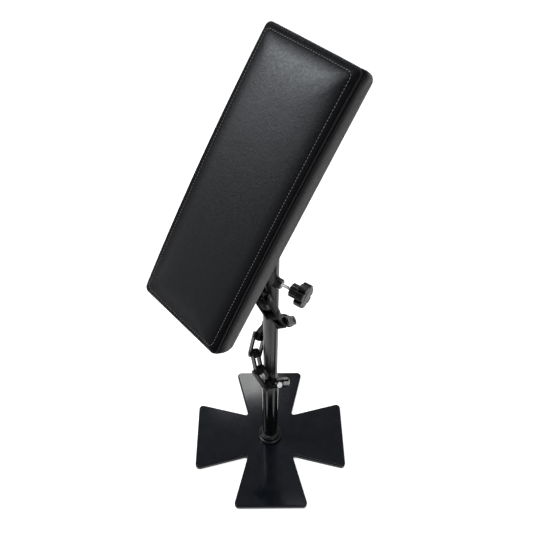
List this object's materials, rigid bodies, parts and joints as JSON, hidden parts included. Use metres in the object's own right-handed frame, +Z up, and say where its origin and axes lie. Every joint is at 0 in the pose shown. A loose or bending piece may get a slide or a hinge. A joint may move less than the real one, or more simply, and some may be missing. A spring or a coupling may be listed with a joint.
{
  "type": "tattoo arm rest stand",
  "caption": "Padded arm rest on a tilting bracket over a height-adjustable steel post with a chain wrap, a lock knob and a flared cross base plate.",
  "frame": {"origin": "centre of the base on the floor, under the post's axis, at the rubber sheet's lower face", "axes": "+Z up along the post; X and Y along the arms of the cross base, with -Y towards the viewer of the picture and +X to their right"},
  "size_m": [0.322, 0.3158, 0.86],
  "materials": {
    "sheet_rubber": "matt black rubber sheet",
    "gloss_black_paint": "gloss black powder coat",
    "satin_black_paint": "satin black powder coat",
    "chain_black": "semi-gloss black paint over steel chain",
    "bright_steel": "zinc-plated steel",
    "black_steel": "blackened steel",
    "black_nylon": "black nylon",
    "white_nylon": "natural nylon",
    "knob_plastic": "black moulded plastic",
    "brass_insert": "yellow-passivated metal",
    "dust_cloth": "black non-woven cloth",
    "plywood": "birch plywood",
    "foam": "cream upholstery foam",
    "black_leather": "black upholstery leather, fine grain, semi-gloss"
  },
  "bodies": {
    "base": {"rubber_sheet": "sheet_rubber", "base_plate": "gloss_black_paint", "base_socket": "gloss_black_paint", "weld_beads": "gloss_black_paint", "lower_tube": "gloss_black_paint", "upper_tube": "satin_black_paint", "lock_nut": "gloss_black_paint", "chain_inner_plates": "chain_black", "chain_outer_plates": "chain_black", "chain_rollers": "chain_black", "chain_pins": "black_steel", "chain_end_roller": "bright_steel", "chain_screw": "bright_steel"},
    "swivel": {"top_bush": "black_nylon"},
    "stem": {"stem_plug": "black_nylon", "stem_tube": "satin_black_paint", "tilt_block": "satin_black_paint"},
    "height_lock": {"lock_stud": "bright_steel", "lock_knob": "knob_plastic"},
    "pad": {"tilt_bracket": "satin_black_paint", "pivot_washers": "white_nylon", "pivot_bolt": "bright_steel", "knob_washer": "bright_steel", "screw_washers": "bright_steel", "bracket_screws": "bright_steel", "tee_nuts": "brass_insert", "dust_cover": "dust_cloth", "pad_board": "plywood", "pad_foam": "foam", "cover_boxing": "black_leather", "cover_top": "black_leather"},
    "tilt_lock": {"tilt_knob": "knob_plastic", "tilt_knob_insert": "brass_insert"}
  },
  "joints": [
    {"name": "head_swivel", "type": "hinge", "parent": "base", "child": "swivel", "pos_m": [0, 0, 0.576], "axis": [0, 0, 1], "continuous": true},
    {"name": "height_slide", "type": "slide", "parent": "swivel", "child": "stem", "axis": [0, 0, 1], "range_m": [-0.047, 0.1]},
    {"name": "lock_knob_turn", "type": "hinge", "parent": "base", "child": "height_lock", "pos_m": [0, 0, 0.504], "axis": [0.8241, -0.5664, 0], "continuous": true},
    {"name": "pad_tilt", "type": "hinge", "parent": "stem", "child": "pad", "pos_m": [0, 0, 0.6666], "axis": [0.6717, -0.7408, 0], "range_deg": [-118.2, 11.8]},
    {"name": "tilt_knob_turn", "type": "hinge", "parent": "pad", "child": "tilt_lock", "pos_m": [0, 0, 0.6666], "axis": [0.6717, -0.7408, 0], "continuous": true}
  ]
}
